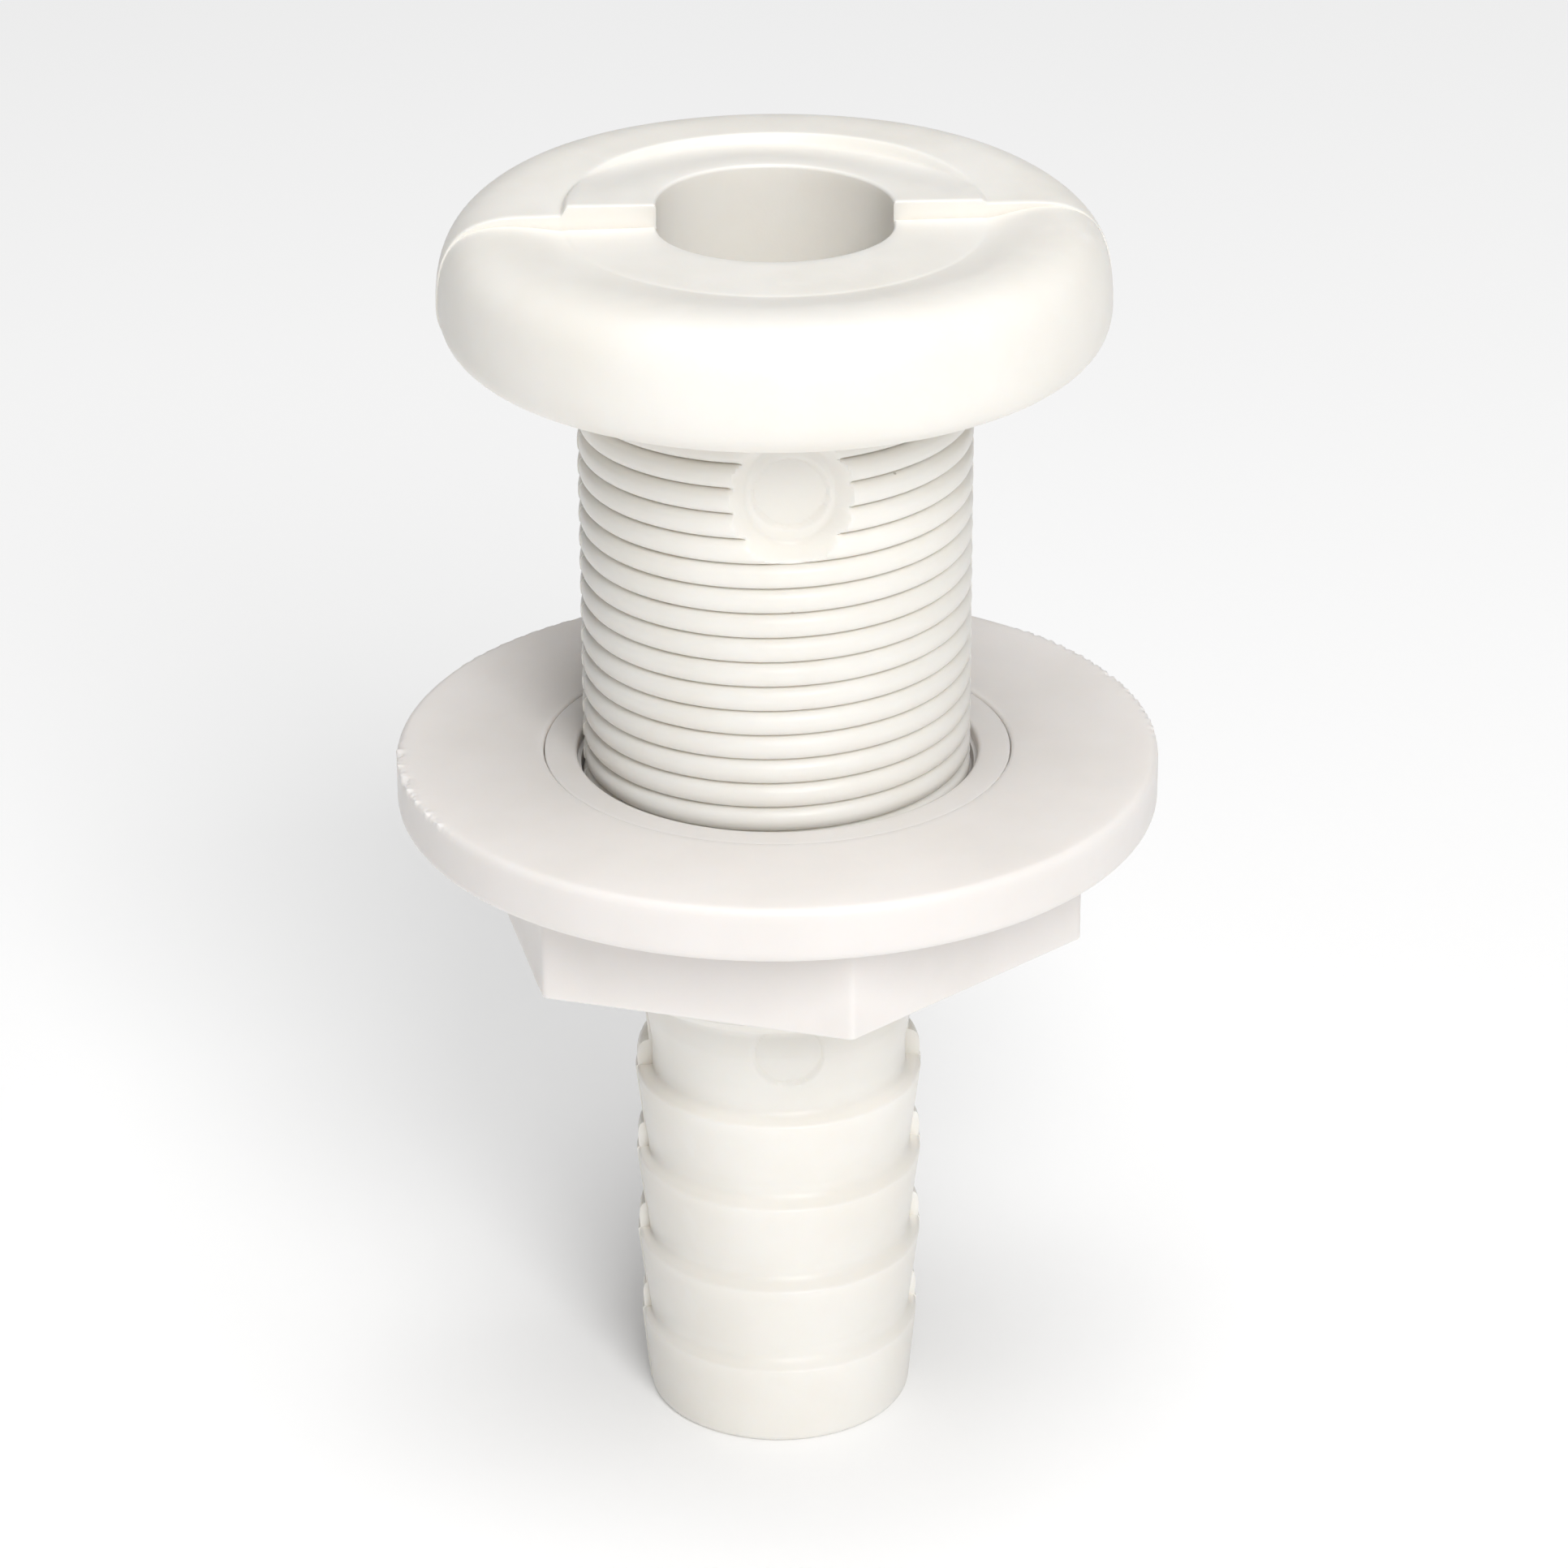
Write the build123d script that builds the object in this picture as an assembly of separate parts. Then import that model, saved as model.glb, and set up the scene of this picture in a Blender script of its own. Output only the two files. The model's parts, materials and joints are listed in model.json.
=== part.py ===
"""Plastic thru-hull fitting with hose barbs and its flanged hull nut.

Frame: millimetres, +Z up. The origin is the centre of the head's underside, the face that bears on
the hull, so the shank and the hose tail run down -Z. The mould's parting plane is XZ, and the half
with the ejector marks faces -Y. The nut is at the lower end of its travel along the thread.
"""
import os
from math import cos, pi

from build123d import *

# ---- driving dimensions: the fitting ------------------------------------------------------------
BORE_R = 8.1                 # clear water way, through the whole fitting
TAIL_END_Z = -82.4           # the hose end, which the fitting stands on

HEAD_R = 23.25               # mushroom head at its widest
HEAD_WIDEST_Z = 3.5
BEARING_R = 18.4             # outer edge of the flat face that bears on the hull
CROWN_SQUARENESS = 0.72      # handle length of the crown's curve; 0.55 would be an ellipse
RIM_SQUARENESS = 0.66
LAND_R = 14.1                # round land about the bore, on top of the head
CROWN_R = 17.2               # where the flat ring about the land starts to round over
FAR_LAND_Z = 10.3            # one mould half leaves its land raised
FAR_RING_Z = 9.95
NEAR_LAND_Z = 8.72           # the other, towards -Y, leaves its land sunk
NEAR_RING_Z = 9.4
NEAR_INSET = 0.15            # the sunk half is this much smaller all round its edge

THREAD_R = 13.8              # over the crests
THREAD_PITCH = 1.8143        # 14 threads to the inch, right-handed, one start
THREAD_DEPTH = 1.15
THREAD_ROOT_R = THREAD_R - THREAD_DEPTH
THREAD_TOP_Z = -2.1          # the thread starts here, just under the head
THREAD_END_Z = -46.6
GROOVE_MOUTH = 1.15          # axial width of the groove at the crests
GROOVE_ROOT = 0.32           # and at its bottom

COLLAR_R = 13.9              # plain collar between the head and the thread

POCKET_MOUTH_R = 4.35        # dished pocket about the upper ejector mark, at the crests
POCKET_FLOOR_R = 3.5
POCKET_SINK = 0.1            # how far its floor lies below the thread's root
EJECTOR_R = 2.55             # the round marks that the ejector pins leave
EJECTOR_SINK = 0.15
EJECTOR_REACH = 2.0          # length of the cutter, enough to clear the wall about a mark
PIN_Z = -6.1
NECK_MARK_Z = -50.0

NECK_TOP_Z = -48.6
NECK_R = 9.75                # the straight part of the neck
NECK_BEND_Z = -50.6
NECK_WAIST_R = 9.5           # its narrowest place, just above the first barb
NECK_WAIST_Z = -53.2

BARB_COUNT = 4
BARB_PITCH = 6.8
FIRST_BARB_Z = -55.6         # the widest place of the first barb
BARB_R = 10.47
LAST_BARB_R = 10.26
BARB_ROOT_R = 9.93
BARB_RISE = 2.1              # height over which a shoulder swells to its full width
TAIL_R = 9.72
TAIL_CHAMFER = 0.6

# ---- driving dimensions: the nut ----------------------------------------------------------------
NUT_TOP_Z = -29.95           # the flange's face, at the lower end of the nut's travel
FLANGE_R = 27.05
FLANGE_T = 4.15
FLANGE_EDGE = 0.6            # chamfer on the flange's lower edge
NUT_HEIGHT = 12.6
HEX_FLATS = 38.9
HEX_TURN = 8.6               # degrees from -Y towards +X to the nearest corner
SEAT_R = 16.6                # counterbore in the flange's face, which holds the seat ring
SEAT_T = 1.0
SEAT_GAP = 0.05
SEAT_SINK = 0.2              # how far the seat ring lies below the flange's face
HOLE_R = 14.25               # through the seat ring
THREAD_CLEARANCE = 0.14      # between the two threads, square to the axis and along it
NUT_TIP_R = 12.9             # over the tips of the nut's thread
NUT_BORE_R = THREAD_R + THREAD_CLEARANCE

CUT = 1.0                    # how far a cutting solid runs past the face it cuts
THREAD_LAP = 0.25            # how far a thread's rib is rooted in the wall it stands on
RIB_FOOT_GAP = 0.15          # left between the turns of the shank's rib inside that wall


def turned(points):
    """A solid of revolution about Z from the corners of its outline, given as (radius, height)."""
    outline = Polyline(*[(r, 0, z) for r, z in points], close=True)
    return revolve(make_face(outline), axis=Axis.Z)


def column(radius, bottom_z, top_z):
    """A plain cylinder on the axis between two heights."""
    stand = (Align.CENTER, Align.CENTER, Align.MIN)
    return Pos(0, 0, bottom_z) * Cylinder(radius, top_z - bottom_z, align=stand)


# ---- threads ------------------------------------------------------------------------------------
def helical_bar(inner_r, inner_w, outer_r, outer_w, bottom_z, top_z):
    """A trapezoid swept along the fitting's right-handed helix, which passes +X at THREAD_END_Z."""
    path = Helix(THREAD_PITCH, top_z - bottom_z, inner_r).moved(Location((0, 0, bottom_z)))
    lower = [(inner_r, -inner_w / 2), (outer_r, -outer_w / 2)]
    upper = [(outer_r, outer_w / 2), (inner_r, inner_w / 2)]
    section = make_face(Polyline(*[(r, 0, bottom_z + h) for r, h in lower + upper], close=True))
    turns = (bottom_z - THREAD_END_Z) / THREAD_PITCH
    return sweep(section, path=path, is_frenet=True).rotate(Axis.Z, 360 * (turns % 1))


def groove_width(radius):
    """Axial width of the fitting's thread groove at a radius."""
    return GROOVE_ROOT + (GROOVE_MOUTH - GROOVE_ROOT) * (radius - THREAD_ROOT_R) / THREAD_DEPTH


def shank_rib(bottom_z, top_z):
    """The fitting's thread: a broad helical rib on the shank's core, half a pitch from its groove."""
    inner_r = THREAD_ROOT_R - THREAD_LAP
    inner_w = THREAD_PITCH - RIB_FOOT_GAP
    outer_w = THREAD_PITCH - GROOVE_MOUTH
    start_z = bottom_z - 2 * THREAD_PITCH
    rib = helical_bar(inner_r, inner_w, THREAD_R, outer_w, start_z, top_z + THREAD_PITCH)
    return rib.rotate(Axis.Z, 180) & column(THREAD_R + CUT, bottom_z, top_z)


def nut_rib(bottom_z, top_z):
    """The nut's thread: a thin helical rib that runs in the shank's groove, clear of it all round."""
    outer_r = NUT_BORE_R + THREAD_LAP
    widths = [groove_width(r) - 2 * THREAD_CLEARANCE for r in (NUT_TIP_R, outer_r)]
    start_z = bottom_z - 2 * THREAD_PITCH
    rib = helical_bar(NUT_TIP_R, widths[0], outer_r, widths[1], start_z, top_z + THREAD_PITCH)
    return rib & column(outer_r + CUT, bottom_z, top_z)


# ---- the fitting --------------------------------------------------------------------------------
def head_half(land_z, ring_z, inset, start_angle):
    """One mould half of the head: land, ring, round crown and tucked-under rim, over 180 degrees."""
    widest_r = HEAD_R - inset
    bearing_r = BEARING_R - inset
    crown_w = widest_r - CROWN_R
    crown_h = ring_z - HEAD_WIDEST_Z
    rim_w = widest_r - bearing_r
    top = [(0, 0, 0), (0, 0, land_z), (LAND_R, 0, land_z), (LAND_R, 0, ring_z), (CROWN_R, 0, ring_z)]
    crown = Bezier(
        (CROWN_R, 0, ring_z),
        (CROWN_R + CROWN_SQUARENESS * crown_w, 0, ring_z),
        (widest_r, 0, HEAD_WIDEST_Z + CROWN_SQUARENESS * crown_h),
        (widest_r, 0, HEAD_WIDEST_Z),
    )
    rim = Bezier(
        (widest_r, 0, HEAD_WIDEST_Z),
        (widest_r, 0, HEAD_WIDEST_Z * (1 - RIM_SQUARENESS)),
        (bearing_r + RIM_SQUARENESS * rim_w, 0, 0),
        (bearing_r, 0, 0),
    )
    outline = [Polyline(*top), crown, rim, Line((bearing_r, 0, 0), (0, 0, 0))]
    half = make_face(outline).rotate(Axis.Z, start_angle)
    return revolve(half, axis=Axis.Z, revolution_arc=180)


def barb_outline():
    """Radius and height down the barbs: each swells to its shoulder, then tapers to the next root."""
    points = []
    for index in range(BARB_COUNT):
        shoulder_z = FIRST_BARB_Z - index * BARB_PITCH
        is_last = index == BARB_COUNT - 1
        points.append((LAST_BARB_R if is_last else BARB_R, shoulder_z))
        if not is_last:
            points.append((BARB_ROOT_R, shoulder_z - BARB_PITCH + BARB_RISE))
    return points


def stem():
    """Collar, shank core, neck, barbs and tail end as one turned shape."""
    collar = [(0, 0), (COLLAR_R, 0), (COLLAR_R, THREAD_TOP_Z)]
    core = [(THREAD_ROOT_R, THREAD_TOP_Z), (THREAD_ROOT_R, THREAD_END_Z)]
    neck = [(NECK_R, NECK_TOP_Z), (NECK_R, NECK_BEND_Z), (NECK_WAIST_R, NECK_WAIST_Z)]
    tail = [(TAIL_R, TAIL_END_Z + TAIL_CHAMFER), (TAIL_R - TAIL_CHAMFER, TAIL_END_Z), (0, TAIL_END_Z)]
    return turned(collar + core + neck + barb_outline() + tail)


def ejector_mark(surface_r, z):
    """The shallow round mark of an ejector pin in a surface that faces -Y."""
    place = Plane(origin=(0, -surface_r + EJECTOR_SINK, z), z_dir=(0, -1, 0))
    return extrude(place * Circle(EJECTOR_R), EJECTOR_REACH)


def pin_pocket():
    """Round dished pocket in the first threads on the -Y side, with an ejector mark in its floor."""
    floor_r = THREAD_ROOT_R - POCKET_SINK
    depth = THREAD_R - floor_r + CUT
    slope = (POCKET_MOUTH_R - POCKET_FLOOR_R) / (THREAD_R - floor_r)
    stand = (Align.CENTER, Align.CENTER, Align.MIN)
    cone = Cone(POCKET_FLOOR_R, POCKET_FLOOR_R + slope * depth, depth, align=stand)
    place = Plane(origin=(0, -floor_r, PIN_Z), z_dir=(0, -1, 0))
    return place * cone + ejector_mark(floor_r, PIN_Z)


def fitting_body():
    """The one-piece moulding: head, threaded shank, neck and hose tail about their bore."""
    body = stem() - ejector_mark(NECK_R, NECK_MARK_Z)
    body += shank_rib(THREAD_END_Z, THREAD_TOP_Z)
    far_half = head_half(FAR_LAND_Z, FAR_RING_Z, 0, 0)
    body += far_half + head_half(NEAR_LAND_Z, NEAR_RING_Z, NEAR_INSET, 180)
    body -= column(BORE_R, TAIL_END_Z - CUT, FAR_LAND_Z + CUT)
    return body - pin_pocket()


# ---- the nut ------------------------------------------------------------------------------------
def hull_nut():
    """Round flange and hexagon in one moulding, threaded through, with its seat counterbore."""
    bottom_z = NUT_TOP_Z - NUT_HEIGHT
    rim_z = NUT_TOP_Z - FLANGE_T
    flange = turned([
        (0, NUT_TOP_Z),
        (FLANGE_R, NUT_TOP_Z),
        (FLANGE_R, rim_z + FLANGE_EDGE),
        (FLANGE_R - FLANGE_EDGE, rim_z),
        (0, rim_z),
    ])
    corner_r = HEX_FLATS / 2 / cos(pi / 6)
    hexagon = RegularPolygon(corner_r, 6, rotation=HEX_TURN - 90)
    nut = flange + Pos(0, 0, bottom_z) * extrude(hexagon, NUT_HEIGHT - CUT)
    seat_z = NUT_TOP_Z - SEAT_SINK - SEAT_T
    nut -= column(NUT_BORE_R, bottom_z - CUT, NUT_TOP_Z + CUT)
    nut -= column(SEAT_R, seat_z, NUT_TOP_Z + CUT)
    return nut + nut_rib(bottom_z, seat_z)


def nut_seat_ring():
    """The nut's face about its hole, which leads the nut along the thread without turning with it."""
    top_z = NUT_TOP_Z - SEAT_SINK
    ring = column(SEAT_R - SEAT_GAP, top_z - SEAT_T, top_z)
    return ring - column(HOLE_R, top_z - SEAT_T - CUT, top_z + CUT)


NODES = {
    "fitting_body": fitting_body,
    "hull_nut": hull_nut,
    "nut_seat_ring": nut_seat_ring,
}

os.makedirs("parts", exist_ok=True)
for name, make in NODES.items():
    export_step(make(), f"parts/{name}.step")
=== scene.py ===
"""Looks of a white plastic thru-hull fitting and its flanged nut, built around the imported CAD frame.

Shapes are worked out in millimetres in the CAD frame (+Z up, the bore on Z, the half of the mould
with the ejector marks towards -Y) and written to meshes in metres. Azimuths are in degrees from +X.
"""
import json
from math import atan, cos, pi, radians, sin

import bmesh
import bpy
import numpy as np
from mathutils import Matrix, Vector


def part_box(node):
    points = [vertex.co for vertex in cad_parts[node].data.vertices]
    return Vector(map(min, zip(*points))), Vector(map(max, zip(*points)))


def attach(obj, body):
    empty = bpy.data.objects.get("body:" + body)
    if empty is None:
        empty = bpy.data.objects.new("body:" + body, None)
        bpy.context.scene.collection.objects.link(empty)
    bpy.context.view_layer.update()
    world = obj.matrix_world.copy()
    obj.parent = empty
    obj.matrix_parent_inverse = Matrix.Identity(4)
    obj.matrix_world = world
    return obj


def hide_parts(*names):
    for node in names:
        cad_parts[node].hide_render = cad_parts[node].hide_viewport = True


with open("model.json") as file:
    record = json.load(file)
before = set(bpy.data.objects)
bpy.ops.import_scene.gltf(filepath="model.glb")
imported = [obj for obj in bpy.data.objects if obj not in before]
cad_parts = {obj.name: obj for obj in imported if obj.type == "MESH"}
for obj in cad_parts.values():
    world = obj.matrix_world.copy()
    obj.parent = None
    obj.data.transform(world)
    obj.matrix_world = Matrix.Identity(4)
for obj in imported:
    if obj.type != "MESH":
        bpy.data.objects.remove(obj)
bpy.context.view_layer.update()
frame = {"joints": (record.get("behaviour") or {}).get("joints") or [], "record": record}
MM = 0.001

# ---- sizes taken from the frame, in millimetres -------------------------------------------------
MOUNTS = {mount["name"]: mount for mount in frame["record"]["mounts"]}
JOINTS = {joint["name"]: joint for joint in frame["joints"]}
BODY_LOW, BODY_HIGH = (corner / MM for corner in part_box("fitting_body"))
NUT_LOW, NUT_HIGH = (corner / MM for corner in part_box("hull_nut"))
RING_LOW, RING_HIGH = (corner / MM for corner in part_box("nut_seat_ring"))

BORE_R = MOUNTS["through_bore"]["dims"]["r_mm"]
BARB_R = MOUNTS["hose_tail"]["dims"]["r_mm"]
THREAD_R = MOUNTS["threaded_shank"]["dims"]["r_mm"]
THREAD_TOP = MOUNTS["threaded_shank"]["pos_m"][2] / MM
THREAD_END = THREAD_TOP - MOUNTS["threaded_shank"]["dims"]["length_mm"]
PITCH = -JOINTS["nut_travel"]["range_m"][0] / MM
HEAD_R = BODY_HIGH.x
TAIL_END = BODY_LOW.z
FLANGE_R = NUT_HIGH.x
NUT_TOP = NUT_HIGH.z
NUT_BOTTOM = NUT_LOW.z
SEAT_R = RING_HIGH.x
RING_TOP = RING_HIGH.z
RING_BOTTOM = RING_LOW.z

# ---- shape of the fitting -----------------------------------------------------------------------
WIDEST_Z = 3.5               # height at which the head is widest
BEARING_R = 18.4             # outer edge of the face under the head
CROWN_R = 17.2               # where the ring about the land starts to round over
NEAR_CROWN_R = 18.4          # the same on the near half
CROWN_SQUARENESS = 0.72      # handle lengths of the head's curves; 0.55 would be ellipses
RIM_SQUARENESS = 0.66
LAND_R = 14.1
NEAR_INSET = 0.15            # the near mould half is this much smaller round the head
SHANK_INSET = 0.09           # and this much below it
BORE_STEP = 0.01             # the bore hardly shows the two halves
HEAD_EDGE = 0.25             # rounding at the bore's mouth and round the collar's top
SHANK_EDGE = 0.3             # rounding at the neck's top and the bore's lower end
PARTING_ROUND = 0.1          # rounding of the raised half's edge at the parting plane
PARTING_REACH = 0.16

FAR_LAND_Z = 10.32
FAR_LAND_LEAN = -0.0157      # the raised land leans, lower towards +X
FAR_LAND_DIP = 0.55          # and is dished at the back, just inside its edge
DIP_SPREAD = 1.2             # how soon the dish is full, going away from the parting plane
DIP_START = 0.15             # where it starts and how wide it is, as shares of the land's width
DIP_WIDTH = 0.8
FAR_RING_Z = 9.86
FAR_RING_SWELL = 0.62        # the ring behind the land stands higher than beside it
SWELL_SPREAD = 1.1           # how soon, going away from the parting plane
NEAR_LAND_Z = 8.85
NEAR_LAND_FALL = 0.2         # the sunk land falls towards its edge
NEAR_RING_Z = 9.35
NEAR_RING_LEAN = 0.008
FAR_SLOPE = 0.55             # width of the slope between land and ring on each half
NEAR_SLOPE = 4.2
NEAR_CREASE = 0.06           # depth of the crease round the sunk land
CREASE_FULL = 0.1            # where the crease is deepest and where it ends, as shares of the slope
CREASE_END = 0.5
SLOPE_ROWS = np.linspace(0.0, 1.0, 6, endpoint=False)

THREAD_DEPTH = 0.98          # less than the CAD's, by the shading in the photograph
THREAD_ROUNDNESS = 3.0       # how flat the crests are
THREAD_RUNOUT = 0.6          # share of a pitch over which the thread fades in under the head
COLLAR_R = 13.9
NECK_TOP_Z = -48.6
NECK_R = 9.75
NECK_BEND_Z = -50.6
NECK_WAIST_R = 9.5
NEAR_WAIST_R = 9.25          # the near half is narrower just above the first barb
NECK_WAIST_Z = -53.2
BARBS = 4
BARB_PITCH = 6.8
FIRST_BARB_Z = -55.6
LAST_BARB_R = 10.26
BARB_ROOT_R = 9.93
BARB_RISE = 2.1              # height over which a shoulder swells out of the root above it
NEAR_RISE = 1.5              # the same on the near half, in front
LEDGE_SHARE = 0.12           # of that height, on the near half at the parting plane
LEDGE_SPREAD = 0.6           # how far from the parting plane the full height is reached
ROOT_FALL = 0.6              # the near half's roots are this much deeper in front
SIDE_FALL = 0.25             # and at the parting plane
# handles of the shoulders' curves: shares of the way out and of the height
FAR_SWELL = ((0.75, 0.95), (1.0, 0.7))
FIRST_LEDGE = ((0.03, 0.4), (0.1, 0.34))
LEDGE = ((0.03, 0.42), (0.18, 0.34))
BARB_EDGE = 0.16             # rounding of a shoulder's edge
BRINK_RISE = 0.4             # share of that by which a shoulder's curve ends above its edge
TAIL_R = 9.72
TAIL_EDGE = 0.6

POCKET_Z = -6.1              # of the pocket about the upper ejector mark, which faces -Y
POCKET_MOUTH_R = 4.1         # half its width; it is higher than wide by the next number
POCKET_STRETCH = 1.13
POCKET_FLOOR_R = 3.05
POCKET_RIM_R = 13.3          # its rim fills the thread's groove no higher, to let the nut's ridge pass
POCKET_DEPTH = 1.8
POCKET_EDGE = 0.3            # width of the step from the pocket's rim down into the thread
PIN_R = 2.55
PIN_SINK = 0.24
PIN_WALL = 0.22
NECK_PIN_Z = -50.15
PIN_SECTOR = 0.5             # the marks stay where minus the azimuth's sine is above this
POCKET_CLEAR = 0.1           # the pocket stays this far below the head's underside
MARK_CLEAR = 1.0             # the mark on the neck stays this far out from the bore

# ---- shape of the nut ---------------------------------------------------------------------------
FLANGE_T = 4.15
HEX_APOTHEM = 19.45
HEX_CORNER_AZIMUTH = -81.4
HEX_CORNERS = 6
HEX_ROUND = 0.45             # rounding of the hexagon's upright edges
NUT_BORE_R = 13.98
NUT_TIP_R = 13.38            # over the nut's own thread, lower than the CAD's to turn clear
NUT_RIDGE = 0.36             # share of the way from valley to crest that its ridge takes up
NUT_RUNOUT = 0.8             # height over which the ridge fades at each end
NUT_LEAD = 0.4               # chamfer at the lower end of the hole
HOLE_R = 14.25               # through the seat ring
SEAT_WALL_R = 16.62
SEAT_EDGE = 0.3              # rounding of the flange's face about the seat ring
FLANGE_EDGE = 0.6            # roundings of the flange's upper and lower edge
FLANGE_FOOT = 0.95
HEX_FOOT = 0.4               # fillet between the flange and the hexagon
HEX_EDGE = 0.25
RING_HOLE_EDGE = 0.35        # roundings of the seat ring
RING_EDGE = 0.1
SEAT_CLEARANCE = 0.02
# flash left on the flange's upper edge: from azimuth, to azimuth, height, teeth per turn
FLASH = ((-187.0, -150.0, 0.34, 83), (-8.0, 48.0, 0.22, 151), (100.0, 150.0, 0.10, 113))
CHIPS = ((-180.5, 0.9, 0.55), (-171.5, 1.2, 0.42), (-160.0, 1.0, 0.25), (21.0, 0.9, 0.3))
NICK = (4.2, -20.1)          # a small dent in the flange's face
NICK_R = 0.55
NICK_DEPTH = 0.18
NICK_REACH = 0.1             # it dents only points this close to the face
FLASH_IN = 0.12              # flash and chips are greatest this far in from the flange's edge
FLASH_DOWN = 0.1             # and this far down from its face
FLASH_SPREAD = 0.28
FLASH_OUT = 0.75             # shares of their size that go outwards and upwards
FLASH_UP = 0.8

# ---- camera, in the frame's millimetres ----------------------------------------------------------
CAMERA_AZIMUTH = 265.5       # where the camera stands round the object
CAMERA_DISTANCE = 351.7      # from the bore's axis, measured level
CAMERA_HEIGHT = 132.1
CAMERA_PITCH = 25.19
CAMERA_YAW = -0.075
CAMERA_ROLL = -0.217
CAMERA_LENS = 125.0
CAMERA_SENSOR = 36.0
CAMERA_CLIP = (0.02, 20.0)   # metres

# ---- light, floor and colours --------------------------------------------------------------------
# azimuth from the camera's and elevation in degrees, distance and size in metres, power in watts
KEY_LIGHT = (14.0, 38.0, 1.4, 0.6, 12.6)
TOP_LIGHT = (20.0, 86.0, 3.0, 2.2, 52.0)
SKY_STRENGTH = 0.12
WHITE = (1.0, 1.0, 1.0, 1.0)
FLOOR_COLOUR = (0.93, 0.93, 0.93, 1.0)
FLOOR_ROUGHNESS = 0.9
FLOOR_GLOW = 0.11
FLOOR_REACH = 4.0            # metres
# pale and deeper tone of each plastic, and the colour of the shade painted into its concave places
BODY_SHADES = ((0.92, 0.895, 0.845), (0.89, 0.86, 0.80), (0.60, 0.52, 0.41))
NUT_SHADES = ((0.87, 0.835, 0.81), (0.84, 0.805, 0.775), (0.55, 0.48, 0.40))
RUBBED_COLOUR = (0.94, 0.93, 0.91)
SPECK_COLOUR = (0.24, 0.2, 0.16)

# ---- meshing ------------------------------------------------------------------------------------
COLUMN_STEP = 1.8            # degrees between columns of points
PARTING_STEPS = (0.3, 0.8)   # extra columns beside the parting plane
PIN_SPREAD = 24.0            # half the sector about the ejector marks with twice the columns
CORNER_STEPS = (-1.5, -1.0, -0.5, 0.0, 0.5, 1.0, 1.5)
FLASH_STEP = 0.45            # degrees between columns along the flash
# rows of points within one pitch of the thread, from valley to valley, and the same by the pocket
PITCH_ROWS = np.array((0.0, 0.04, 0.12, 0.28, 0.5, 0.72, 0.88, 0.96))
DENSE_ROWS = np.array((0.0, 0.04, 0.12, 0.2, 0.28, 0.39, 0.5, 0.61, 0.72, 0.8, 0.88, 0.96))
WELD = 1e-6                  # metres
SHARP_ANGLE = 38.0           # degrees between faces, above which an edge is drawn sharp
CORNER_PULL = 0.55           # handles of rounded corners; 0.55 gives nearly an ellipse


def smooth(t):
    """0 below 0, 1 above 1, with a soft start and end."""
    t = np.clip(t, 0.0, 1.0)
    return t * t * (3.0 - 2.0 * t)


# ---- outlines: arrays of (radius, height) for every azimuth, indexed [column, row, axis] ---------
def spot(a, r, z):
    """One outline point for each azimuth."""
    return np.stack([r + 0.0 * a, z + 0.0 * a], axis=-1)


def straight(p, q, count):
    """Rows from p towards q, without q."""
    t = np.linspace(0.0, 1.0, count, endpoint=False)[None, :, None]
    return p[:, None, :] * (1.0 - t) + q[:, None, :] * t


def curved(p, p_handle, q_handle, q, count):
    """Rows along a Bezier curve from p towards q, without q."""
    t = np.linspace(0.0, 1.0, count, endpoint=False)[None, :, None]
    s = 1.0 - t
    p, p_handle, q_handle, q = (x[:, None, :] for x in (p, p_handle, q_handle, q))
    return p * s**3 + 3.0 * p_handle * s * s * t + 3.0 * q_handle * s * t * t + q * t**3


def corner(a, p, through, q, count=4):
    """Rows of a rounded corner that starts at p and ends before q, both (radius, height) pairs."""
    start, middle, end = spot(a, *p), spot(a, *through), spot(a, *q)
    handles = [point * (1.0 - CORNER_PULL) + middle * CORNER_PULL for point in (start, end)]
    return curved(start, *handles, end, count)


# ---- meshes -------------------------------------------------------------------------------------
class Shell:
    """Grids of points that are welded into one mesh."""

    def __init__(self):
        self.points = []
        self.faces = []
        self.count = 0

    def add(self, a, outline):
        """Adds the surface that an outline sweeps over its azimuths."""
        r, z = outline[..., 0], outline[..., 1]
        grid = np.stack([r * np.cos(a)[:, None], r * np.sin(a)[:, None], z], axis=-1)
        columns, rows = r.shape
        index = np.arange(columns * rows).reshape(columns, rows) + self.count
        quads = [index[:-1, :-1], index[:-1, 1:], index[1:, 1:], index[1:, :-1]]
        self.points.append(grid.reshape(-1, 3) * MM)
        self.faces.append(np.stack(quads, axis=-1).reshape(-1, 4))
        self.count += columns * rows

    def piece(self, name, body, node, slot, material):
        """The welded mesh as a piece that stands for a CAD node."""
        mesh = bpy.data.meshes.new(name)
        mesh.from_pydata(np.vstack(self.points).tolist(), [], np.vstack(self.faces).tolist())
        work = bmesh.new()
        work.from_mesh(mesh)
        bmesh.ops.remove_doubles(work, verts=work.verts, dist=WELD)
        bmesh.ops.recalc_face_normals(work, faces=work.faces)
        work.to_mesh(mesh)
        work.free()
        mesh.polygons.foreach_set("use_smooth", [True] * len(mesh.polygons))
        mesh.set_sharp_from_angle(angle=radians(SHARP_ANGLE))
        mesh.materials.append(material)
        piece = bpy.data.objects.new(name, mesh)
        bpy.context.scene.collection.objects.link(piece)
        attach(piece, body)
        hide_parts(node)
        return piece


def half_columns(far):
    """Azimuths of one mould half, in radians, closer at the parting plane and the ejector marks."""
    steps = np.arange(0.0, 180.0 + COLUMN_STEP / 2, COLUMN_STEP)
    parting = np.array(PARTING_STEPS)
    a = [steps, parting, 180.0 - parting]
    if not far:
        middle = steps[abs(steps - 90.0) < PIN_SPREAD] + COLUMN_STEP / 2
        a = [part - 180.0 for part in a + [middle]]
    return np.radians(np.unique(np.round(np.concatenate(a), 4)))


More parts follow.
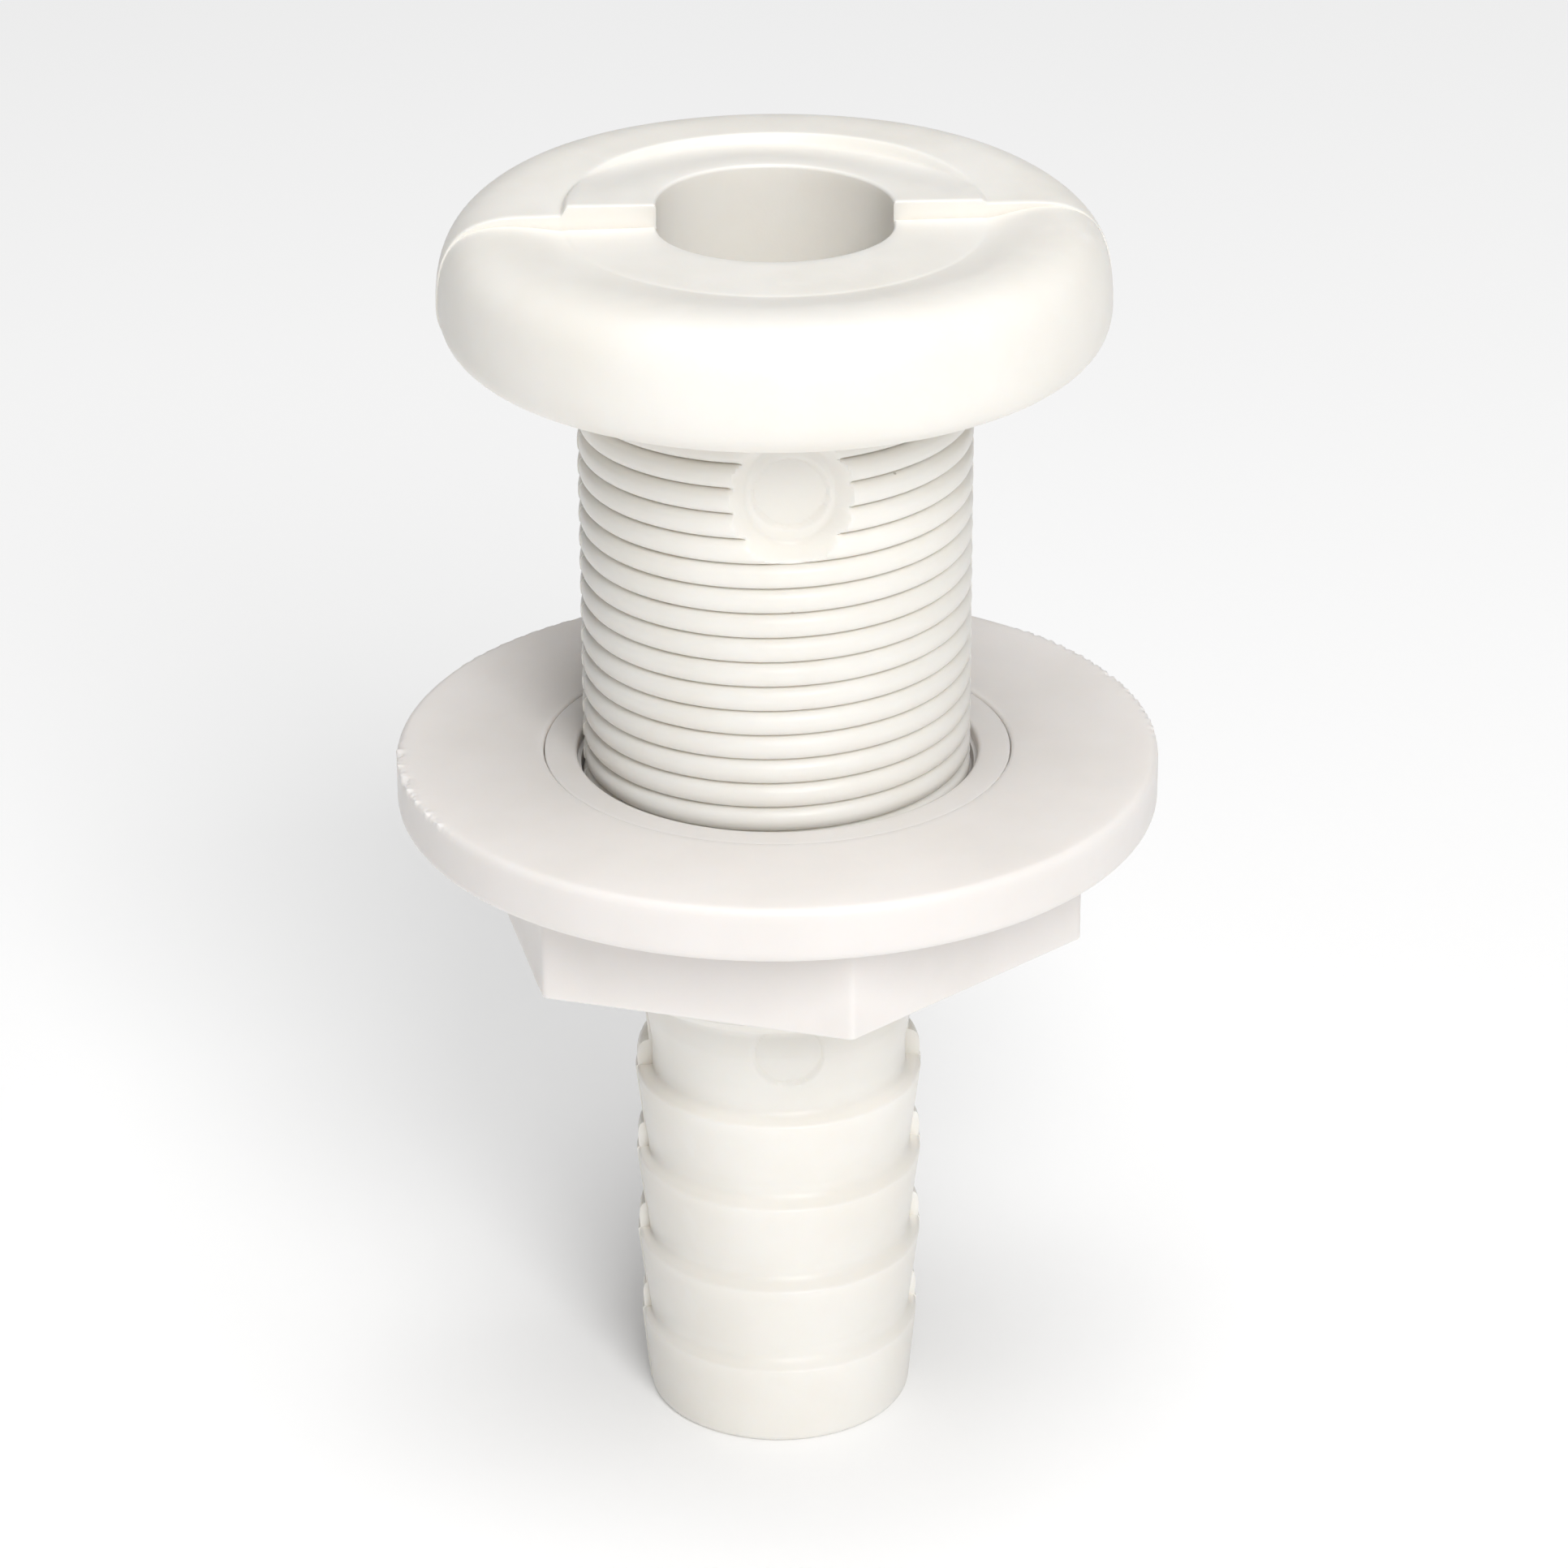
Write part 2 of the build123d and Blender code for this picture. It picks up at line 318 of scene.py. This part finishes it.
def thread_rows(a, bottom, top, radius_at):
    """An outline whose rows follow the helix between two heights.

    A turn at +180 degrees meets the next turn at -180 degrees. Where the dense rows end, those two
    have different rows, which leaves 12 open edges at the left of the fitting's parting plane.
    """
    base = np.floor((bottom - THREAD_END) / PITCH)
    rows = []
    for turn in np.arange(np.ceil((top - bottom) / PITCH) + 2, -3, -1):
        from_pocket = abs(THREAD_END + (base + turn + 0.5) * PITCH - POCKET_Z)
        is_dense = top == THREAD_TOP and from_pocket < POCKET_MOUTH_R * POCKET_STRETCH + PITCH
        rows.append(turn + (DENSE_ROWS if is_dense else PITCH_ROWS)[::-1])
    rows = np.concatenate(rows)[None, :]
    z = np.clip(THREAD_END + (base + rows + a[:, None] / (2 * pi)) * PITCH, bottom, top)
    phase = (z - THREAD_END) / PITCH - a[:, None] / (2 * pi)
    from_valley = 1.0 - abs(2.0 * (phase % 1.0) - 1.0)
    return np.stack([radius_at(from_valley, z), z], axis=-1)


# ---- the fitting --------------------------------------------------------------------------------
def pin_dip(across, up, depth):
    """How far an ejector mark sinks a surface at a distance from its centre."""
    away = np.hypot(across, up)
    return depth * (1.0 - smooth((away - PIN_R) / PIN_WALL + 0.5))


def dished(a, outline):
    """The outline with the pocket about the upper ejector mark taken out of it."""
    a = a[:, None]
    thread_r, z = outline[..., 0], outline[..., 1]
    forward = np.maximum(-np.sin(a), PIN_SECTOR)
    facing = (np.sin(a) < -PIN_SECTOR) & (z < -POCKET_CLEAR)
    r = thread_r.copy()
    for _ in range(3):
        across = r * np.cos(a)
        away = np.hypot(across, (z - POCKET_Z) / POCKET_STRETCH)
        wall = smooth((away - POCKET_FLOOR_R) / (POCKET_MOUTH_R - POCKET_FLOOR_R))
        floor_r = (THREAD_R - POCKET_DEPTH - pin_dip(across, z - POCKET_Z, PIN_SINK)) / forward
        pocket_r = floor_r * (1.0 - wall) + POCKET_RIM_R * wall
        share = smooth((POCKET_MOUTH_R - away) / POCKET_EDGE + 0.5) * facing
        r = thread_r * (1.0 - share) + np.minimum(pocket_r, POCKET_RIM_R) * share
    return np.stack([r, z], axis=-1)


def land_height(a, r, far):
    """Height of the round land about the bore."""
    share = (r - BORE_R) / (LAND_R - BORE_R)
    aside = abs(np.sin(a))
    if far:
        dip = FAR_LAND_DIP * smooth(aside * DIP_SPREAD) * smooth((share - DIP_START) / DIP_WIDTH)
        return FAR_LAND_Z + FAR_LAND_LEAN * r * np.cos(a) - dip
    return NEAR_LAND_Z + NEAR_LAND_FALL * aside * (1.0 - share)


def ring_height(a, far):
    """Height of the ring outside the land."""
    if far:
        return FAR_RING_Z + FAR_RING_SWELL * smooth(abs(np.sin(a)) * SWELL_SPREAD)
    return NEAR_RING_Z + NEAR_RING_LEAN * CROWN_R * np.cos(a)


def head_outline(a, far):
    """The head from the bore's upper edge over the crown to the top of the thread."""
    edge = HEAD_EDGE
    widest_r = HEAD_R - (0.0 if far else NEAR_INSET)
    bearing_r = BEARING_R - (0.0 if far else NEAR_INSET)
    collar_r = COLLAR_R - (0.0 if far else SHANK_INSET)
    bore_r = BORE_R + (BORE_STEP if far else 0.0)
    bore_z = land_height(a, BORE_R + edge, far)
    crown_r = CROWN_R if far else NEAR_CROWN_R
    ring_z = ring_height(a, far)
    rows = [corner(a, (bore_r, bore_z - edge), (bore_r, bore_z), (bore_r + edge, bore_z))]
    for r in np.linspace(BORE_R + edge, LAND_R, 10, endpoint=False):
        rows.append(spot(a, r, land_height(a, r, far))[:, None, :])
    land_z = land_height(a, LAND_R, far)
    slope_radii = LAND_R + FAR_SLOPE * SLOPE_ROWS
    ring_radii = np.linspace(LAND_R + FAR_SLOPE, crown_r, 10, endpoint=False)
    for r in (*slope_radii, *ring_radii):
        share = (r - LAND_R) / (FAR_SLOPE if far else NEAR_SLOPE)
        height = land_z + (ring_z - land_z) * smooth(share)
        if not far:
            height = height - NEAR_CREASE * smooth(share / CREASE_FULL) * (1.0 - smooth(share / CREASE_END))
        rows.append(spot(a, r, height)[:, None, :])
    crown_w = widest_r - crown_r
    crown_h = ring_z - WIDEST_Z
    rim_w = widest_r - bearing_r
    rows += [
        curved(
            spot(a, crown_r, ring_z),
            spot(a, crown_r + CROWN_SQUARENESS * crown_w, ring_z),
            spot(a, widest_r, WIDEST_Z + CROWN_SQUARENESS * crown_h),
            spot(a, widest_r, WIDEST_Z),
            22,
        ),
        curved(
            spot(a, widest_r, WIDEST_Z),
            spot(a, widest_r, WIDEST_Z * (1 - RIM_SQUARENESS)),
            spot(a, bearing_r + RIM_SQUARENESS * rim_w, 0.0),
            spot(a, bearing_r, 0.0),
            13,
        ),
        straight(spot(a, bearing_r, 0.0), spot(a, collar_r + edge, 0.0), 3),
        corner(a, (collar_r + edge, 0.0), (collar_r, 0.0), (collar_r, -edge), 3),
        straight(spot(a, collar_r, -edge), spot(a, collar_r, THREAD_TOP), 6),
        spot(a, collar_r, THREAD_TOP)[:, None, :],
        spot(a, THREAD_R - (COLLAR_R - collar_r), THREAD_TOP)[:, None, :],
    ]
    outline = np.concatenate(rows, axis=1)
    if far:
        from_parting = outline[..., 0] * abs(np.sin(a))[:, None]
        raised = (outline[..., 1] > WIDEST_Z) & (outline[..., 0] > bore_r + edge / 2)
        drop = PARTING_ROUND * (1.0 - smooth(from_parting / PARTING_REACH))
        outline[..., 1] -= np.where(raised, drop, 0.0)
    return outline if far else dished(a, outline)


def shank_outline(a, far):
    """The thread, which runs out under the head and has a lead at its lower end."""
    inset = 0.0 if far else SHANK_INSET
    root_r = THREAD_R - THREAD_DEPTH

    def radius_at(from_valley, z):
        crest = np.sqrt(1.0 - (1.0 - from_valley) ** THREAD_ROUNDNESS)
        depth = THREAD_DEPTH * (1.0 - crest) * smooth((THREAD_TOP - z) / (THREAD_RUNOUT * PITCH))
        return np.minimum(THREAD_R - depth, root_r + (z - THREAD_END)) - inset

    outline = thread_rows(a, THREAD_END, THREAD_TOP, radius_at)
    return outline if far else dished(a, outline)


def barb_rows(a, far, inset, waist_r):
    """The barbs, each swelling to a shoulder and tapering to the next root, then the tail's wall."""
    aside = abs(np.sin(a))
    near_rise = NEAR_RISE * (LEDGE_SHARE + (1.0 - LEDGE_SHARE) * smooth(aside / LEDGE_SPREAD))
    rise = BARB_RISE if far else near_rise
    fall = 0.0 if far else SIDE_FALL + (ROOT_FALL - SIDE_FALL) * smooth(aside)
    barb_root_r = BARB_ROOT_R - fall - inset
    rows = []
    for index in range(BARBS):
        is_first = index == 0
        is_last = index == BARBS - 1
        shoulder_z = FIRST_BARB_Z - index * BARB_PITCH
        shoulder_r = (LAST_BARB_R if is_last else BARB_R) - inset
        root_r = waist_r if is_first else barb_root_r
        near_curve = FIRST_LEDGE if is_first else LEDGE
        brink = (shoulder_r - BARB_EDGE, shoulder_z + BARB_EDGE * BRINK_RISE)
        below = (shoulder_r, shoulder_z - BARB_EDGE)
        handles = [
            spot(a, root_r + out * (shoulder_r - root_r), shoulder_z + rise * up)
            for out, up in (FAR_SWELL if far else near_curve)
        ]
        rows.append(curved(spot(a, root_r, shoulder_z + rise), *handles, spot(a, *brink), 9))
        rows.append(corner(a, brink, (shoulder_r, shoulder_z), below, 3))
        if is_last:
            end = spot(a, TAIL_R - inset, TAIL_END + TAIL_EDGE)
        else:
            end = spot(a, barb_root_r, shoulder_z - BARB_PITCH + rise)
        rows.append(straight(spot(a, *below), end, 6))
    return rows


def tail_outline(a, far):
    """The neck, the barbs, the tail's end and the bore up to the head."""
    inset = 0.0 if far else SHANK_INSET
    edge = SHANK_EDGE
    bore_r = BORE_R + (BORE_STEP if far else 0.0)
    neck_r = NECK_R - inset
    waist_r = NECK_WAIST_R if far else NEAR_WAIST_R
    tail_r = TAIL_R - inset
    root_r = THREAD_R - THREAD_DEPTH - inset
    bore_top = land_height(a, BORE_R + HEAD_EDGE, far) - HEAD_EDGE
    barbs = barb_rows(a, far, inset, waist_r)
    rows = [
        straight(spot(a, root_r, THREAD_END), spot(a, neck_r + edge, NECK_TOP_Z + edge), 4),
        corner(a, (neck_r + edge, NECK_TOP_Z + edge), (neck_r, NECK_TOP_Z), (neck_r, NECK_TOP_Z - edge), 3),
        straight(spot(a, neck_r, NECK_TOP_Z - edge), spot(a, neck_r, NECK_BEND_Z), 8),
        straight(spot(a, neck_r, NECK_BEND_Z), spot(a, waist_r, NECK_WAIST_Z), 11),
        straight(spot(a, waist_r, NECK_WAIST_Z), barbs[0][:, 0, :], 3),
        *barbs,
        corner(a, (tail_r, TAIL_END + TAIL_EDGE), (tail_r, TAIL_END), (tail_r - TAIL_EDGE, TAIL_END), 4),
        straight(spot(a, tail_r - TAIL_EDGE, TAIL_END), spot(a, bore_r + edge, TAIL_END), 2),
        corner(a, (bore_r + edge, TAIL_END), (bore_r, TAIL_END), (bore_r, TAIL_END + edge), 3),
        straight(spot(a, bore_r, TAIL_END + edge), spot(a, bore_r, bore_top), 12),
        spot(a, bore_r, bore_top)[:, None, :],
    ]
    outline = np.concatenate(rows, axis=1)
    if not far:
        across = outline[..., 0] * np.cos(a)[:, None]
        near = (np.sin(a)[:, None] < -PIN_SECTOR) & (outline[..., 0] > BORE_R + MARK_CLEAR)
        dip = pin_dip(across, outline[..., 1] - NECK_PIN_Z, PIN_SINK)
        outline[..., 0] -= np.where(near, dip, 0.0)
    return outline


def fitting_shell():
    """The whole moulding: two halves and the steps between them in the parting plane."""
    shell = Shell()
    for make in (head_outline, shank_outline, tail_outline):
        for far in (True, False):
            a = half_columns(far)
            shell.add(a, make(a, far))
        for side in (0.0, pi):
            pair = np.array([side])
            steps = np.concatenate([make(pair, False), make(pair, True)], axis=0)
            shell.add(np.array([side, side]), steps)
    return shell


# ---- the nut ------------------------------------------------------------------------------------
def nut_columns():
    """Azimuths round the nut, in radians, closer at the hexagon's corners and along the flash."""
    a = [np.arange(-180.0, 180.0 + COLUMN_STEP / 2, COLUMN_STEP)]
    for index in range(HEX_CORNERS):
        centre = HEX_CORNER_AZIMUTH + index * 360.0 / HEX_CORNERS
        a.append((centre + np.array(CORNER_STEPS) + 180.0) % 360.0 - 180.0)
    for start, end, _, _ in FLASH:
        a.append((np.arange(start, end, FLASH_STEP) + 180.0) % 360.0 - 180.0)
    a = np.unique(np.round(np.concatenate(a), 2))
    keep = np.concatenate([[True], np.diff(a) > 0.2])
    keep[-1] = True
    return np.radians(a[keep])


def hexagon_radius(a):
    """Radius of the rounded hexagon at each azimuth."""
    sector = 2 * pi / HEX_CORNERS
    off = (a - radians(HEX_CORNER_AZIMUTH) + sector / 2) % sector - sector / 2
    off = abs(off)
    flat = HEX_APOTHEM / np.cos(sector / 2 - off)
    centre = (HEX_APOTHEM - HEX_ROUND) / cos(sector / 2)
    inner = np.maximum(HEX_ROUND**2 - (centre * np.sin(off)) ** 2, 0.0)
    arc = centre * np.cos(off) + np.sqrt(inner)
    ends = atan(HEX_ROUND * sin(sector / 2) / (centre + HEX_ROUND * cos(sector / 2)))
    return np.where(off < ends, arc, flat)


def flash_height(a):
    """Ragged flash along the flange's upper edge."""
    turn = np.degrees(a)
    height = 0.0 * a
    for start, end, size, teeth in FLASH:
        middle, half = (start + end) / 2, (end - start) / 2
        off = abs((turn - middle + 180.0) % 360.0 - 180.0)
        ragged = 0.45 + 0.3 * np.sin(teeth * a) + 0.25 * np.sin(3 * teeth * a + 1.0)
        height = height + size * smooth((half - off) / (0.3 * half)) * np.maximum(ragged, 0.0)
    for centre, width, depth in CHIPS:
        off = abs((turn - centre + 180.0) % 360.0 - 180.0)
        height = height - depth * (1.0 - smooth(off / width))
    return height


def nut_outline(a):
    """The nut from its seat over the flange and down the hexagon to the thread's lower end."""
    rim_z = NUT_TOP - FLANGE_T
    seat_z = RING_BOTTOM - SEAT_CLEARANCE
    edge = SEAT_EDGE
    hex_r = hexagon_radius(a)
    lip = FLANGE_R - FLANGE_EDGE
    foot = FLANGE_R - FLANGE_FOOT
    root = HEX_FOOT
    lead = NUT_LEAD
    rows = [
        straight(spot(a, NUT_BORE_R, seat_z), spot(a, SEAT_WALL_R, seat_z), 2),
        straight(spot(a, SEAT_WALL_R, seat_z), spot(a, SEAT_WALL_R, NUT_TOP - edge), 2),
        corner(a, (SEAT_WALL_R, NUT_TOP - edge), (SEAT_WALL_R, NUT_TOP), (SEAT_WALL_R + edge, NUT_TOP), 3),
        straight(spot(a, SEAT_WALL_R + edge, NUT_TOP), spot(a, lip, NUT_TOP), 22),
        corner(a, (lip, NUT_TOP), (FLANGE_R, NUT_TOP), (FLANGE_R, NUT_TOP - FLANGE_EDGE), 6),
        straight(spot(a, FLANGE_R, NUT_TOP - FLANGE_EDGE), spot(a, FLANGE_R, rim_z + FLANGE_FOOT), 7),
        corner(a, (FLANGE_R, rim_z + FLANGE_FOOT), (FLANGE_R, rim_z), (foot, rim_z), 6),
        straight(spot(a, foot, rim_z), spot(a, hex_r + root, rim_z), 6),
        corner(a, (hex_r + root, rim_z), (hex_r, rim_z), (hex_r, rim_z - root), 4),
        straight(spot(a, hex_r, rim_z - root), spot(a, hex_r, NUT_BOTTOM + HEX_EDGE), 9),
        corner(a, (hex_r, NUT_BOTTOM + HEX_EDGE), (hex_r, NUT_BOTTOM), (hex_r - HEX_EDGE, NUT_BOTTOM), 4),
        straight(spot(a, hex_r - HEX_EDGE, NUT_BOTTOM), spot(a, NUT_BORE_R + lead, NUT_BOTTOM), 4),
        spot(a, NUT_BORE_R + lead, NUT_BOTTOM)[:, None, :],
        spot(a, NUT_BORE_R, NUT_BOTTOM + lead)[:, None, :],
    ]
    outline = np.concatenate(rows, axis=1)
    r, z = outline[..., 0], outline[..., 1]
    from_lip = np.hypot(r - FLANGE_R + FLASH_IN, z - NUT_TOP + FLASH_DOWN)
    flash = flash_height(a)[:, None] * np.exp(-((from_lip / FLASH_SPREAD) ** 2))
    outline[..., 0] += FLASH_OUT * flash
    outline[..., 1] += FLASH_UP * flash
    x, y = r * np.cos(a)[:, None], r * np.sin(a)[:, None]
    away = np.hypot(x - NICK[0], y - NICK[1])
    outline[..., 1] -= NICK_DEPTH * (1.0 - smooth(away / NICK_R)) * (z > NUT_TOP - NICK_REACH)
    return outline


def nut_thread_outline(a):
    """The nut's own thread, a low ridge in the middle of the shank's groove."""
    bottom = NUT_BOTTOM + NUT_LEAD
    top = RING_BOTTOM - SEAT_CLEARANCE

    def radius_at(from_valley, z):
        ends = np.minimum(z - bottom, top - z)
        ridge = smooth(1.0 - from_valley / NUT_RIDGE) * smooth(ends / NUT_RUNOUT)
        return NUT_BORE_R - (NUT_BORE_R - NUT_TIP_R) * ridge

    return thread_rows(a, bottom, top, radius_at)


def nut_shell():
    """Flange, hexagon and threaded hole."""
    shell = Shell()
    a = nut_columns()
    shell.add(a, nut_outline(a))
    shell.add(a, nut_thread_outline(a))
    return shell


def ring_shell():
    """The round face about the nut's hole."""
    shell = Shell()
    a = np.radians(np.arange(-180.0, 180.0 + COLUMN_STEP / 2, COLUMN_STEP))
    inner, outer = RING_HOLE_EDGE, RING_EDGE
    rows = [
        straight(spot(a, HOLE_R, RING_BOTTOM), spot(a, HOLE_R, RING_TOP - inner), 3),
        corner(a, (HOLE_R, RING_TOP - inner), (HOLE_R, RING_TOP), (HOLE_R + inner, RING_TOP), 5),
        straight(spot(a, HOLE_R + inner, RING_TOP), spot(a, SEAT_R - outer, RING_TOP), 5),
        corner(a, (SEAT_R - outer, RING_TOP), (SEAT_R, RING_TOP), (SEAT_R, RING_TOP - outer), 3),
        straight(spot(a, SEAT_R, RING_TOP - outer), spot(a, SEAT_R, RING_BOTTOM), 2),
        straight(spot(a, SEAT_R, RING_BOTTOM), spot(a, HOLE_R, RING_BOTTOM), 2),
        spot(a, HOLE_R, RING_BOTTOM)[:, None, :],
    ]
    shell.add(a, np.concatenate(rows, axis=1))
    return shell


# ---- materials ----------------------------------------------------------------------------------
class Nodes:
    """A material's node tree, with short calls for the nodes used here."""

    def __init__(self, name):
        self.material = bpy.data.materials.new(name)
        self.material.use_nodes = True
        self.tree = self.material.node_tree
        self.shader = self.tree.nodes["Principled BSDF"]
        self.place = self.tree.nodes.new("ShaderNodeTexCoord").outputs["Object"]

    def link(self, source, target):
        self.tree.links.new(source, target)

    def noise(self, scale, detail=3.0, rough=0.5):
        node = self.tree.nodes.new("ShaderNodeTexNoise")
        node.inputs["Scale"].default_value = scale
        node.inputs["Detail"].default_value = detail
        node.inputs["Roughness"].default_value = rough
        self.link(self.place, node.inputs["Vector"])
        return node.outputs["Fac"]

    def ramp(self, value, low, high, start=0.0, end=1.0):
        node = self.tree.nodes.new("ShaderNodeMapRange")
        node.interpolation_type = "SMOOTHSTEP"
        for key, number in zip(("From Min", "From Max", "To Min", "To Max"), (low, high, start, end)):
            node.inputs[key].default_value = number
        self.link(value, node.inputs["Value"])
        return node.outputs["Result"]

    def math(self, operation, left, right):
        node = self.tree.nodes.new("ShaderNodeMath")
        node.operation = operation
        for socket, value in zip(node.inputs, (left, right)):
            if isinstance(value, (int, float)):
                socket.default_value = value
            else:
                self.link(value, socket)
        return node.outputs["Value"]

    def mix(self, share, first, second):
        """A colour between first and second; each is a colour or a socket."""
        node = self.tree.nodes.new("ShaderNodeMix")
        node.data_type = "RGBA"
        self.link(share, node.inputs["Factor"])
        for key, value in ((6, first), (7, second)):
            if isinstance(value, tuple):
                node.inputs[key].default_value = (*value, 1.0)
            else:
                self.link(value, node.inputs[key])
        return node.outputs[2]

    def specks(self, scale, share, size):
        """A mask of sparse round specks: one in a few cells of a Voronoi pattern."""
        node = self.tree.nodes.new("ShaderNodeTexVoronoi")
        node.inputs["Scale"].default_value = scale
        self.link(self.place, node.inputs["Vector"])
        split = self.tree.nodes.new("ShaderNodeSeparateColor")
        self.link(node.outputs["Color"], split.inputs["Color"])
        chosen = self.ramp(split.outputs["Red"], 1.0 - share, 1.0 - share + 0.001)
        dot = self.ramp(node.outputs["Distance"], size, size * 0.4)
        return self.math("MULTIPLY", chosen, dot)


def moulded_plastic(name, pale, deep, painted_shade_colour):
    """Satin white moulding: mottled colour, rubbed edges, shade painted into concave places, fine grain."""
    n = Nodes(name)
    pointiness = n.tree.nodes.new("ShaderNodeNewGeometry").outputs["Pointiness"]
    mottle = n.ramp(n.noise(95.0, 4.0, 0.55), 0.35, 0.7)
    flow = n.ramp(n.noise(430.0, 3.0, 0.6), 0.3, 0.75)
    base = n.mix(mottle, pale, deep)
    # painted shade: concave places are darkened towards the third colour
    concave_shade_mask = n.math("MULTIPLY", n.ramp(pointiness, 0.485, 0.44), 0.14)
    base = n.mix(concave_shade_mask, base, painted_shade_colour)
    rubbed = n.math("MULTIPLY", n.ramp(pointiness, 0.515, 0.56), n.math("ADD", flow, 0.2))
    base = n.mix(n.math("MULTIPLY", rubbed, 0.2), base, RUBBED_COLOUR)
    base = n.mix(n.math("MULTIPLY", n.specks(420.0, 0.012, 0.075), 0.55), base, SPECK_COLOUR)
    n.link(base, n.shader.inputs["Base Color"])

    rough = n.math("ADD", n.ramp(flow, 0.0, 1.0, 0.36, 0.46), n.math("MULTIPLY", rubbed, 0.08))
    n.link(rough, n.shader.inputs["Roughness"])

    grain = n.math("ADD", n.noise(5200.0, 2.0), n.math("MULTIPLY", n.noise(900.0, 3.0), 1.6))
    bump = n.tree.nodes.new("ShaderNodeBump")
    bump.inputs["Strength"].default_value = 0.10
    bump.inputs["Distance"].default_value = 0.06 * MM
    n.link(grain, bump.inputs["Height"])
    n.link(bump.outputs["Normal"], n.shader.inputs["Normal"])

    n.shader.inputs["Subsurface Weight"].default_value = 0.35
    n.shader.inputs["Subsurface Radius"].default_value = (1.0, 0.85, 0.7)
    n.shader.inputs["Subsurface Scale"].default_value = 1.2 * MM
    n.shader.inputs["IOR"].default_value = 1.46
    return n.material


def floor_material():
    """A plain pale floor."""
    n = Nodes("pale_floor")
    n.shader.inputs["Base Color"].default_value = FLOOR_COLOUR
    n.shader.inputs["Roughness"].default_value = FLOOR_ROUGHNESS
    n.shader.inputs["Emission Color"].default_value = WHITE
    n.shader.inputs["Emission Strength"].default_value = FLOOR_GLOW
    return n.material


# ---- stage --------------------------------------------------------------------------------------
def make_floor():
    """A wide floor under the tail's end."""
    mesh = bpy.data.meshes.new("floor")
    side, z = FLOOR_REACH, TAIL_END * MM
    corners = [(-side, -side, z), (side, -side, z), (side, side, z), (-side, side, z)]
    mesh.from_pydata(corners, [], [(0, 1, 2, 3)])
    mesh.materials.append(floor_material())
    floor = bpy.data.objects.new("floor", mesh)
    bpy.context.scene.collection.objects.link(floor)


def soft_box(name, azimuth, elevation, distance, size, power):
    """A square area light that faces the middle of the object, placed from the camera's azimuth."""
    light = bpy.data.lights.new(name, "AREA")
    light.shape = "SQUARE"
    light.size = size
    light.energy = power
    lamp = bpy.data.objects.new(name, light)
    middle = Vector((0.0, 0.0, (TAIL_END + BODY_HIGH.z) / 2 * MM))
    a, e = radians(CAMERA_AZIMUTH + azimuth), radians(elevation)
    out = Vector((cos(a) * cos(e), sin(a) * cos(e), sin(e)))
    lamp.location = middle + out * distance
    lamp.rotation_euler = (-out).to_track_quat("-Z", "Y").to_euler()
    bpy.context.scene.collection.objects.link(lamp)


def make_lights():
    """Soft frontal light from a little to the right, a wide one overhead, and pale surroundings."""
    soft_box("key", *KEY_LIGHT)
    soft_box("top", *TOP_LIGHT)
    world = bpy.data.worlds.new("surroundings")
    world.use_nodes = True
    sky = world.node_tree.nodes["Background"]
    sky.inputs["Color"].default_value = WHITE
    sky.inputs["Strength"].default_value = SKY_STRENGTH
    bpy.context.scene.world = world


def make_camera():
    """The camera in front of the object, a little above it."""
    camera = bpy.data.cameras.new("camera")
    camera.lens = CAMERA_LENS
    camera.sensor_width = CAMERA_SENSOR
    camera.clip_start, camera.clip_end = CAMERA_CLIP
    holder = bpy.data.objects.new("camera", camera)
    a = radians(CAMERA_AZIMUTH)
    stand = Vector((CAMERA_DISTANCE * cos(a), CAMERA_DISTANCE * sin(a), CAMERA_HEIGHT)) * MM
    heading = Matrix.Rotation(a + pi / 2 + radians(CAMERA_YAW), 4, "Z")
    tilt = Matrix.Rotation(radians(90.0 - CAMERA_PITCH), 4, "X")
    roll = Matrix.Rotation(radians(CAMERA_ROLL), 4, "Z")
    holder.matrix_world = Matrix.Translation(stand) @ heading @ tilt @ roll
    bpy.context.scene.collection.objects.link(holder)
    bpy.context.scene.camera = holder


body_plastic = moulded_plastic("body_plastic", *BODY_SHADES)
nut_plastic = moulded_plastic("nut_plastic", *NUT_SHADES)
fitting_shell().piece("fitting_moulding", "fitting", "fitting_body", "body_plastic", body_plastic)
nut_shell().piece("nut_moulding", "nut", "hull_nut", "nut_plastic", nut_plastic)
ring_shell().piece("nut_seat_face", "nut_lead", "nut_seat_ring", "nut_plastic", nut_plastic)
make_floor()
make_lights()
make_camera()
bpy.context.scene.view_settings.view_transform = "Standard"
